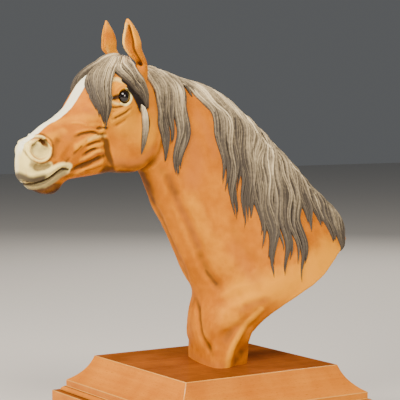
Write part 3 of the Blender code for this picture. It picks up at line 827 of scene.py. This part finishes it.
SHADOW = (
    (EYE_FURROW, 0.55, 3),
    (((-112, 215.5), (-106, 215.5), (-101, 216.5)), 0.5, 2.4),
    (((-104, 203), (-99, 206), (-94, 210)), 0.3, 3),
    (VEIN_SHADE, 0.55, 2.8),
    (((-139, 192.5), (-146, 188), (-151, 181)), 0.35, 5.5),
    (((-151, 193), (-155, 184), (-157, 176)), 0.4, 6),
    (((-121, 199), (-113, 199)), 0.8, 2.2),
    (((-121, 193.5), (-117, 193), (-114, 189)), 0.5, 2.4),
    (((-117, 188.5), (-123, 187), (-129, 184.5)), 0.4, 2.6),
    (((-119, 183), (-125, 181.5), (-131, 178)), 0.6, 2.8),
    (((-134, 185), (-139, 179), (-145, 173)), 0.5, 3.4),
    (((-113, 176.5), (-121, 173.5), (-127, 171), (-133, 168.5), (-139, 166.5)), 0.85, 3.4),
    (((-121, 173), (-127, 170)), 0.6, 4.5),
    (((-111.5, 189), (-109, 180), (-105, 172), (-102, 165)), 1.1, 4.2),  # cheek's front edge
    (((-108, 178), (-103, 168)), 0.6, 2.4),
    (((-116, 195), (-113.5, 189)), 0.6, 2.6),
    (((-107, 164.5), (-95, 163), (-83, 162.5), (-76, 164)), 1.4, 10.5),  # under the cheek
    (((-78, 163.5), (-70, 167.5), (-65, 174)), 0.55, 7),
    (((-104, 169), (-90, 167), (-77, 168), (-71, 172)), 0.75, 8),
    (((-73, 166), (-65, 174), (-60, 184), (-58, 197)), 0.5, 4),
    (((-112, 171), (-120, 168.5), (-130, 165)), 0.45, 4),  # lowest ridge
    (((-140, 157), (-125, 158.5), (-108, 160)), 1, 6),  # bars of the jaw
    (((-78, 160), (-68, 151), (-60, 139)), 0.95, 13),  # throat
    (((-62, 168), (-53, 158), (-46, 146)), 0.5, 10),
    (((-68, 148), (-55, 121), (-41, 90), (-31, 66)), 0.4, 9),  # front of the neck
    (((-47, 148), (-42, 136), (-34, 118), (-26, 100)), 0.28, 7.5),  # the groove
    (((-27, 102), (-20, 88), (-13, 75), (-7, 66)), 0.35, 7),
    (((-16, 79), (-9, 69)), 0.7, 3.2),
    (((-6, 88), (4, 80), (8, 72)), 0.3, 10),
    (CHEST_GROOVE, 0.55, 5),
    (((24, -24, 28), (17, -24, 15), (8, -33, 5)), 0.45, 10),  # back of the foot
    (((24, 90), (8, 104), (5, 120)), 0.3, 9),
    (((-4, 24), (1, 30)), 0.3, 5),
    (((-174, 171), (-169.5, 168.5), (-162, 171)), 1.1, 5.5),  # under the nostril
    (oval(NOSTRIL, (11.1, 11.6)), 0.85, 2.4),
    (((-176, 190), (-170, 191.5), (-164, 191), (-161, 188), (-162.5, 184)), 0.7, 4.2),  # in its hollow
    (((-173, 188), (-168, 187), (-165, 184)), 0.5, 6),
    (((-167, 146.5), (-158, 146.5), (-149, 150)), 1.2, 6.5),
    (((-166, 149), (-159, 149), (-150, 152)), 1.6, 8),  # chin
    (((-145, 160), (-140, 162), (-134, 163)), 0.6, 3.4),
    (((-90, -18.5, 282), (-89, -21.5, 275), (-88.5, -23.5, 267), (-87.5, -24, 262), (-84, -22.5, 257),
      (-80.5, -20.5, 253)), 0.4, 2.2),  # within the ear's rim
    (((-88.5, -16, 281), (-84.5, -15, 272), (-84, -15.5, 263), (-80, -16, 257), (-77.5, -16, 253)),
      0.85, 2.4),  # and along its depth
    (((-90, -15, 274), (-88, -15, 262)), 0.25, 8),
    (EAR_ROOT, 0.9, 5),
)
CREAM = (
    (((-184, 187), (-184, 165)), 1, 14),  # front of the muzzle
    (((-179, 192), (-178, 178), (-176, 168)), 1, 9),
    (((-181, -6, 188), (-181, -6, 166)), 1, 9),
    (((-170, 185), (-167, 181), (-163.5, 181)), 1, 11),  # nostril's bowl
    (oval(NOSTRIL, (8.8, 9.4)), 0.75, 3),
    (((-178, 172), (-172, 170), (-165, 169), (-160, 170)), 1, 6),
    (((-176, 165), (-168, 164), (-158, 166.5), (-149, 169), (-143, 168.5)), 1, 6.5),
    (MOUTH, 1, 4.5),
    (((-180, 160), (-172, 159.5), (-163, 161), (-156, 165)), 1, 6),  # upper lip
    (((-177, 152.5), (-168, 152.5), (-160, 155), (-154, 159), (-149, 163), (-143.5, 165)), 0.7, 6),
    (((-172, 201), (-179, 193)), 1, 5.5),
    (oval(EYE, (6.5, 6.3), -125, 75, 10), 0.95, 2.5),  # rim of the lids
    (oval(EYE, (7.4, 7.4), 70, 140, 5), 0.3, 2.4),
    (((-111, 220), (-106, 218.5), (-101, 217.5)), 0.55, 3),
    # On the cheek muscle the cream is partly painted highlight.
    (((-114, 192.5), (-121, 192.5), (-128, 190)), 0.45, 5),  # cheek muscle
    (((-110, 236), (-104, 238), (-98, 236)), 0.6, 5),  # brow
    (((-93, -13.5, 256), (-94, -13.5, 264), (-93, -14.5, 273), (-91, -16, 282)), 0.5, 4),
    (((-91, -14.5, 283), (-91, -14, 272), (-88, -14.5, 259)), 0.3, 9),  # lining of the ear
)
# MAUVE: a dark grey wash, partly the lips' own grey, and painted shade under the upper lip, along the mouth,
# in the nostril's bowl and over the upper lid.
MAUVE = (
    (((-182, 1, 160.5), (-181, -5, 160), (-178, -9, 159), (-173, -12, 158.5), (-165, -13, 159.5)),
      0.85, 7),  # upper lip
    (((-182, -3, 168), (-179, -8, 167), (-173, -12, 166)), 0.25, 8),
    (((-171, 184.5), (-166, 182)), 0.36, 7.5),  # nostril's bowl
    (((-178, 154), (-168, 155), (-160, 158), (-153, 163), (-147, 166.5)), 0.7, 2.6),  # mouth
    (((-176, 152), (-170, 151.5), (-163, 153.5), (-157, 157), (-151, 161.5), (-146, 164)), 0.55, 6.5),
    (oval(EYE, (7.6, 7.6), 75, 160, 5), 0.25, 2.4),  # upper lid
)
# UMBER: near-black. The lash line is the porcelain's own paint; on the chin, in the nostril's hole and at the
# ear's root it is painted shade, and along the mouth and in the tear duct partly painted shade.
UMBER = (
    (((-167, 146.5), (-158, 146.5), (-150, 149)), 0.68, 7.5),  # chin
    (MOUTH, 0.8, 2),
    (((-149, 167.5), (-145, 167)), 0.8, 2.4),
    (((-181, 0, 155.5), (-180, -5, 155.5), (-178, -9, 155.5)), 0.7, 1.4),
    (((-111, 222.5), (-108, 223), (-105.5, 224)), 0.6, 3),  # tear duct
    (((-107.5, 223), (-104, 224.5)), 0.9, 4.2),
    (oval(EYE, (5.3, 5.1)), 1, 2.5),  # lash line
    (oval(EYE, (6.2, 6), 60, 175, 6), 0.7, 1.4),
    (((-165.5, 190), (-163, 189), (-163.5, 186.5)), 0.42, 4.2),  # nostril's hole
    (EAR_ROOT, 0.3, 3.4),
)
SHADE_BEHIND_FORELOCK = (
    (((-98, 237), (-93.5, 232.5)), 0.9, 3.2),
    (((-92.5, 231.5), (-88, 227), (-83, 221), (-79, 215)), 1, 6.5),
    (((-79.5, 215), (-76, 209), (-74.5, 203), (-75.5, 196)), 1, 4.6),
)


def store(piece, name, values):
    """Stores a number for each point of the piece."""
    layer = piece.data.attributes.new(name, "FLOAT", "POINT")
    layer.data.foreach_set("value", np.asarray(values, dtype=np.float32))


def painted(piece, name, strokes, both_sides=True):
    """Stores how much of one colour each point of the piece has taken from the strokes."""
    points = points_of(piece)
    over = folded(points) if both_sides else points
    amount = np.zeros(len(points))
    for route, strength, width in strokes:
        line = on_left_side(spline(route, STROKE_STEPS), horse_tree)
        near, touch = tool_touch(over, line, width, 0.0)
        amount[near] = np.maximum(amount[near], strength * touch)
    store(piece, name, amount)


def hollowness(piece, rounds):
    """How far each point lies under the skin as it would be with all its small forms rubbed down, in mm."""
    points = points_of(piece)
    edges = np.empty(len(piece.data.edges) * 2, dtype=np.int32)
    piece.data.edges.foreach_get("vertices", edges)
    ends = np.concatenate([edges[0::2], edges[1::2]])
    others = np.concatenate([edges[1::2], edges[0::2]])
    count = np.maximum(np.bincount(ends, minlength=len(points)), 1)
    rubbed = points.copy()
    for _ in range(rounds):
        around = [np.bincount(ends, weights=rubbed[others, axis], minlength=len(points)) for axis in range(3)]
        rubbed = 0.5 * rubbed + 0.5 * np.column_stack(around) / count[:, None]
    return ((rubbed - points) * points_of(piece, "normal")).sum(axis=1)


for colour, strokes in (("yellow", YELLOW), ("rose", ROSE), ("shadow", SHADOW), ("cream", CREAM),
                        ("mauve", MAUVE), ("umber", UMBER)):
    painted(horse, colour, strokes)
# The near-black behind the forelock is painted shadow.
painted(horse, "behind", SHADE_BEHIND_FORELOCK, both_sides=False)
# The hollowness darkens the coat in its hollows and creases and keeps the yellow off them: painted shade.
shallow = np.clip(hollowness(horse, rounds=24), -0.9, 0.9)
shallow[points_of(horse)[:, 2] > EARS_FROM] *= 0.2
store(horse, "hollow", shallow)
flat = horse.data.attributes.new("layout", "FLOAT_VECTOR", "POINT")
flat.data.foreach_set("vector", (points_of(horse) * MM).astype(np.float32).ravel())
stood_up(horse)
horse.data.shade_smooth()

bisque, start = new_finish("painted bisque", IOR=1.45, Specular_IOR_Level=0.06)
place = start.node("TexCoord", output=3)
laid_out = start.node("Attribute", {"attribute_name": "layout"}, output=1)
along, across, height = (start.node("SeparateXYZ", None, {0: laid_out}, axis) for axis in range(3))


def paint_of(name):
    return start.node("Attribute", {"attribute_name": name}, output=2)


cloud = start.noise(place, 38.0, 3.0)
mottle = start.noise(place, 150.0, 4.0, 0.6)
speckle = start.noise(place, 1400.0, 2.0)
uneven = (cloud - 0.5) * 0.5 + (mottle - 0.5) * 0.5
hollow = paint_of("hollow")
washes = cloud.within(0.35, 0.65) * 0.5 + mottle.within(0.3, 0.7) * 0.3
coat = washes.blend((0.42, 0.115, 0.002), (0.61, 0.190, 0.003))
# Yellow on the ridges, partly painted highlight, kept off the hollows.
yellow_and_highlight = (paint_of("yellow") * 0.9 + uneven * 0.6 - hollow * 0.8).within(0.0, 1.1)
coat = yellow_and_highlight.blend(coat, (0.77, 0.305, 0.005))
coat = (paint_of("rose") * 0.75 + uneven * 0.4).within(0.05, 0.95).blend(coat, (0.48, 0.145, 0.022))
pale = (paint_of("cream") + uneven * 0.25).within(0.25, 0.8)
coat = (pale * 0.96).blend(coat, (0.97, 0.80, 0.28))
# Painted shade: the shadow strokes, a little mottling, and the hollows darker.
shaded = paint_of("shadow") * (0.65 + mottle * 0.6) + uneven * (0.5 - pale * 0.3) + hollow * 0.8
coat = (shaded.within(0.05, 1.0) * (0.92 - pale * 0.15)).blend(coat, (0.098, 0.040, 0.011))
stripe = across.maths("ABSOLUTE", across) - (mottle - 0.5) * 0.002
on_top = (height - along * 0.45).within(0.256, 0.266)
narrowing = (along + 0.170) * 0.06
blaze = (1.0 - (stripe - narrowing).within(0.0047, 0.0062)) * on_top * (1.0 - along.within(-0.112, -0.100))
far_nostril = across.within(-0.002, 0.004) * (1.0 - (along - height * 0.2).within(-0.203, -0.195))
coat = far_nostril.blend(coat, (0.96, 0.84, 0.46))
coat = blaze.blend(coat, (0.97, 0.94, 0.70))
# Dark grey: partly the lips' own grey, mostly painted shade.
coat = (paint_of("mauve").within(0.05, 0.8) * 0.96).blend(coat, (0.075, 0.058, 0.044))
# Near-black: the lash line, and painted shade in the recesses and under the chin.
dark = (paint_of("umber") * 1.2).within(0.1, 0.9)
coat = (dark * 0.95).blend(coat, (0.030, 0.014, 0.008))
# Near-black painted shadow behind the forelock.
coat = (paint_of("behind") * 1.6).within(0.2, 0.9).blend(coat, (0.018, 0.014, 0.013))
grain = start.node("Bump", None, {"Strength": 0.25, "Distance": 0.0003, "Height": mottle + speckle * 0.4})
feed(bisque, Base_Color=coat, Roughness=0.45 + cloud * 0.12, Normal=grain)
horse.data.materials.append(bisque)
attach(horse, "root")
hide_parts("horse_head")

# ---- The eyes: cast with the head and covered with a thick black-brown glaze, so that each is a smooth wet
# ball set deep between the lids.
glaze, start = new_finish("black glaze", Coat_Weight=0.5, Coat_Roughness=0.03, IOR=1.45)
place = start.node("TexCoord", output=3)
iris = start.noise(place, 900.0, 2.0).within(0.4, 0.7).blend((0.004, 0.003, 0.004), (0.016, 0.008, 0.005))
feed(glaze, Base_Color=iris, Roughness=start.noise(place, 60.0) * 0.06 + 0.05)
for side, name in ((-1.0, "left_eye"), (1.0, "right_eye")):
    bpy.ops.object.select_all(action="DESELECT")
    bpy.ops.mesh.primitive_uv_sphere_add(segments=48, ring_count=32, radius=EYE_RADIUS, location=(0, 0, 0))
    eye = bpy.context.object
    eye.name = name
    set_points(eye, points_of(eye) * (1.0, 0.96, 1.0) + (EYE[0], -side * EYE[1], EYE[2]))
    stood_up(eye)
    eye.data.shade_smooth()
    eye.data.materials.append(glaze)
    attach(eye, "root")
    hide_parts("horse_head")

# ---- The mane: thick wavy locks that roll over the crest and fall down the left of the neck, carved in the
# mould with a strand tool, and dry-brushed warm grey: lighter on the strands' ridges and towards the crest,
# near-black in the grooves and darker towards the tips. The light ridges are partly painted highlight and the
# dark grooves partly painted shade.
TOP_POINTS = 17              # points over a lock's outer face, which is grooved into strands
UNDER_POINTS = 5             # and under it, in the skin
LOCK_RINGS = 30
SUNK = 0.9                   # how far a lock's underside lies in the skin
WAVE_LENGTH = 44.0
OVERLAP = 1.1                # how much wider than its half spread a fall of the mane is laid
hair_random = np.random.default_rng(7)

# Each fall of the mane: route from crest to tip (S, D, H), its half spread, and how many locks it has.
MANE = (
    (((-74, 3, 250), (-66, -9, 247), (-60, -14, 224), (-57, -16, 205), (-56, -17, 187), (-54, -18, 169)),
      3, 4),
    (((-68, 3, 250), (-58, -8, 244), (-51, -13, 227), (-49, -16, 208), (-50, -18, 184)), 4, 4),
    (((-60, 3, 248), (-48, -6, 242), (-40, -9, 231), (-36, -13, 216), (-37, -16, 199), (-40, -18, 181),
      (-43, -19, 157)), 5.5, 5),
    (((-48, 3, 246), (-36, -5, 241), (-27, -8, 233), (-22, -11, 224)), 3.5, 4),
    (((-48, 3, 246), (-34, -5, 241), (-18, -7, 231), (-6, -12, 214), (0, -16, 192), (0, -20, 170),
      (-1, -25, 143)), 4, 4),
    (((-36, 3, 242), (-21, -4, 237), (-6, -7, 225), (6, -9, 209), (11, -14, 190), (9, -19, 168),
      (8, -24, 148), (6, -29, 122)), 5, 5),
    (((-24, 3, 239), (-9, -4, 232), (6, -5, 219), (16, -8, 204), (20, -13, 185), (17, -19, 166),
      (19, -24, 145), (11, -32, 106)), 4.5, 4),
    (((-10, 3, 232), (4, -4, 224), (16, -5, 212), (25, -9, 196), (27, -16, 170), (27, -23, 145),
      (17, -31, 119)), 3.5, 4),
    (((-4, 3, 229), (12, -4, 218), (24, -5, 205), (33, -8, 190), (30, -15, 171), (27, -21, 153),
      (31, -26, 134), (28, -35, 97)), 5, 5),
    (((8, 3, 221), (24, -4, 208), (36, -5, 195), (42, -8, 180), (37, -15, 162), (37, -22, 142),
      (38, -32, 110), (35, -40, 74)), 5.5, 5),
    (((20, 3, 212), (36, -4, 197), (48, -6, 181), (51, -12, 163), (48, -21, 141), (49, -29, 119),
      (49, -36, 99), (47, -41, 75)), 5.5, 5),
    (((33, 3, 201), (48, -4, 185), (59, -6, 168), (64, -13, 149), (61, -24, 126), (63, -32, 105),
      (62, -41, 69)), 6, 5),
    (((46, 3, 188), (60, -4, 171), (70, -6, 157), (74, -14, 138), (75, -22, 121), (76, -27, 109)), 5, 5),
    (((60, 3, 173), (73, -4, 157), (82, -7, 144), (86, -14, 128), (86, -22, 111)), 5, 5),
    (((74, 3, 158), (85, -4, 144), (93, -8, 132), (96, -16, 117), (97, -24, 97)), 4.5, 4),
    (((88, 3, 144), (97, -5, 134), (105, -9, 122), (108, -17, 106), (108, -23, 86)), 4, 4),
    (((99, 3, 135), (107, -5, 127), (114, -10, 115), (116, -17, 98)), 3.5, 4),
)


class Hair:
    """Locks gathered into one mesh, with what the paint needs stored at each point."""

    def __init__(self):
        self.rings = []
        self.faces = []
        self.ridge = []
        self.along = []
        self.tone = []

    def lock(self, line, half_width, high, lift, strands, tone):
        """One lock laid along the line: a tapering body, sunk in the skin, whose outer face is grooved."""
        first = len(self.rings) * (TOP_POINTS + UNDER_POINTS)
        over = np.linspace(0.0, 1.0, TOP_POINTS)
        under = np.linspace(0.0, 1.0, UNDER_POINTS + 2)[1:-1]
        phase = hair_random.uniform(0.0, 2.0 * math.pi)
        lean = hair_random.uniform(-0.12, 0.12)
        ahead = np.gradient(line, axis=0)
        for i, share in enumerate(np.linspace(0.0, 1.0, len(line))):
            spot, normal, _, _ = horse_tree.find_nearest(Vector(line[i]))
            side = np.array(Vector(ahead[i]).cross(normal).normalized())
            body = smooth_step(share / 0.1 * 0.85 + 0.15) * (1.0 - share ** 5) ** 0.9 + 0.02
            groove = 0.5 + 0.5 * np.cos(2.0 * math.pi * strands * (over + lean * share) + phase)
            grooved = high * (1.0 - 0.42 * (1.0 - groove)) + lift[i]
            rise = np.sin(math.pi * over) ** 0.75 * grooved * body ** 0.7
            width = half_width * body
            outer = np.outer(np.cos(math.pi * over) * width, side) + np.outer(rise, normal)
            inner = np.outer(-np.cos(math.pi * under) * width * 0.9, side) - SUNK * np.array(normal)
            self.rings.append(np.array(spot) + np.vstack([outer, inner]))
            self.ridge += list((0.45 + 0.55 * groove) * np.sin(math.pi * over)) + [0.0] * UNDER_POINTS
            self.along += [share] * (TOP_POINTS + UNDER_POINTS)
            self.tone += [tone] * (TOP_POINTS + UNDER_POINTS)
        for face in strip_faces(len(line), TOP_POINTS + UNDER_POINTS):
            self.faces.append([first + corner for corner in face])

    def fall(self, route, spread, locks, half_width, high, wave, phase,
             rise=0.0, root_lift=0.0, root_spread=1.0):
        """Locks side by side down the route, which wave together, part, and gather at a few tips."""
        middle = spline(route, 8)
        run = np.concatenate([[0.0], np.cumsum(np.sqrt((np.diff(middle, axis=0) ** 2).sum(axis=1)))])
        share = run / run[-1]
        ahead = np.gradient(middle, axis=0)
        normals = [horse_tree.find_nearest(Vector(point))[1] for point in middle]
        sides = np.array([Vector(way).cross(normal).normalized() for way, normal in zip(ahead, normals)])
        sway = smooth_step((share - 0.08) / 0.3) * (1.0 - 0.5 * share)
        opened = root_spread + (1.0 - root_spread) * smooth_step(share / 0.3)
        for number in range(locks + 1):
            under = number == 0      # the broad lock that lies beneath the others
            place = 0.0 if under else 2.0 * (number - 0.5) / locks - 1.0 + hair_random.uniform(-0.15, 0.15)
            end = 0.80
            if not under:
                end = hair_random.uniform(0.98, 1.02) - 0.22 * abs(place) * hair_random.uniform(0.2, 1.0)
            turn = phase + hair_random.uniform(-0.8, 0.8)
            aside = place * spread * opened * (1.0 - 0.65 * share ** 5)
            aside += wave * sway * np.sin(2.0 * math.pi * run / WAVE_LENGTH + turn)
            laid = middle + sides * aside[:, None]
            steps = np.linspace(0.0, end, LOCK_RINGS)
            line = np.column_stack([np.interp(steps, share, laid[:, axis]) for axis in range(3)])
            roll = 0.5 + 0.5 * np.cos(2.0 * math.pi * steps * run[-1] / WAVE_LENGTH + turn)
            lift = rise if under else rise + hair_random.uniform(0.3, 1.0) * (0.3 + wave * 0.5 * roll)
            lift = lift + root_lift * (1.0 - smooth_step(steps / 0.8))
            width = spread * 1.05 if under else half_width * hair_random.uniform(0.65, 1.25)
            thick = high * (0.5 if under else hair_random.uniform(0.75, 1.2))
            strands = 6.0 if under else hair_random.uniform(1.6, 3.4)
            self.lock(line, width, thick, lift, strands, hair_random.uniform(0.0, 1.0))

    def piece(self, name):
        """The locks as one object, with the paint's numbers stored."""
        made = new_piece(name, np.vstack(self.rings), self.faces)
        for stored, values in (("ridge", self.ridge), ("along", self.along), ("tone", self.tone)):
            store(made, stored, values)
        stood_up(made)
        made.data.shade_smooth()
        return made


mane = Hair()
for number, (route, spread, locks) in enumerate(MANE):
    mane.fall(route, spread * OVERLAP, locks, half_width=2.9, high=2.1, wave=3.0, phase=0.55 * number)
mane = mane.piece("mane")

hair_paint, start = new_finish("dry-brushed hair", IOR=1.45, Specular_IOR_Level=0.2)
place = start.node("TexCoord", output=3)
ridge = paint_of("ridge")
tip = paint_of("along")
cloud = start.noise(place, 70.0, 3.0)
dust = start.noise(place, 420.0, 3.0)
tone = paint_of("tone") - 0.5
# Light on the strands' ridges and near the crest, dark in the grooves and towards the tips: partly the grey
# paint's own tone, partly painted highlight and painted shade.
brushed = ridge * 0.70 + (cloud - 0.5) * 0.5 + tone * 0.45 + (dust - 0.5) * 0.6 - tip * 0.80 + 0.34
grey = brushed.within(0.0, 1.0).blend((0.058, 0.047, 0.036), (0.44, 0.35, 0.21))
lit = (ridge * 0.9 + (cloud - 0.5) * 1.2 + tone - tip * 1.4).within(0.30, 0.95)
grey = (lit * 0.8).blend(grey, (0.78, 0.66, 0.42))
tip = (tip + (cloud - 0.5) * 0.4).within(0.42, 1.0)
grey = (tip * 0.7).blend(grey, (0.070, 0.056, 0.042))
carved = start.node("Bump", None, {"Strength": 0.3, "Distance": 0.0003, "Height": dust + ridge})
feed(hair_paint, Base_Color=grey, Roughness=0.5 + cloud * 0.14, Normal=carved)
mane.data.materials.append(hair_paint)
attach(mane, "root")
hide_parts("horse_head")

# ---- The forelock: locks that spring from between the ears, carved and brushed as the mane is. One fall is
# swept across the blaze, a curtain hangs in front of the eye, and the others hook round behind it.

# Each fall of the forelock: route (S, D, H), half spread, how many locks it has, how high it rides over the
# skin, and the share of its spread that it has at its root.
FORELOCK = (
    (((-84, 3, 254), (-92, 5, 254), (-104, 7, 251), (-114, 9, 246), (-123, 10, 238), (-131, 10, 227)),
      4.6, 5, 3, 0.45),
    (((-85, 1, 254), (-93, 1, 254), (-104, 0, 251), (-112, -2, 246), (-118, -7, 238), (-120.5, -13, 228),
      (-121, -19, 218), (-120.5, -22, 208)), 3.8, 5, 0.6, 0.45),
    (((-85, 0, 254), (-92, -1, 254), (-102, -5, 251), (-110, -11, 245), (-116, -16, 236),
      (-118.5, -20, 226), (-117.5, -23, 214), (-115, -23.5, 200)), 3.8, 5, 0.8, 0.45),
    (((-85, -1, 254), (-91, -3, 254), (-98, -9, 251), (-105, -15, 245), (-110, -19, 236), (-113, -22, 226),
      (-114, -23.5, 213), (-114, -23, 196)), 3.2, 4, 1, 0.45),
    (((-85, -2, 254), (-92, -8, 252.5), (-98, -15, 248), (-99, -19, 243.5), (-93, -22, 237),
      (-86.5, -22, 230.5), (-80, -21, 223.5), (-75, -20, 214)), 2, 3, 1.4, 0.45),
    (((-85, -2, 254), (-90, -8, 253), (-93.5, -14, 249), (-92, -18, 243.5), (-87, -20.5, 237),
      (-82, -21, 230), (-77, -20, 221.5), (-73.5, -20, 211)), 2.6, 4, 1.8, 0.45),
    (((-84, -3, 254), (-87, -8, 253), (-88.5, -13, 250), (-86, -16.5, 245), (-81.5, -19, 238),
      (-78, -20, 231), (-75, -20, 223), (-73, -20, 213)), 2.2, 3, 2, 0.45),
    (((-80.5, -21, 218), (-77.5, -21, 210), (-76.5, -21, 200), (-78, -21, 190), (-80, -21, 176)),
      1.5, 3, 0.4, 0.05),
)
forelock = Hair()
for number, (route, spread, locks, rise, root_spread) in enumerate(FORELOCK):
    forelock.fall(route, spread, locks, half_width=2.0, high=1.7, wave=0.5, phase=0.9 * number,
                  rise=rise, root_lift=0.8, root_spread=root_spread)
forelock = forelock.piece("forelock")
forelock.data.materials.append(hair_paint)
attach(forelock, "root")
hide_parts("horse_head")
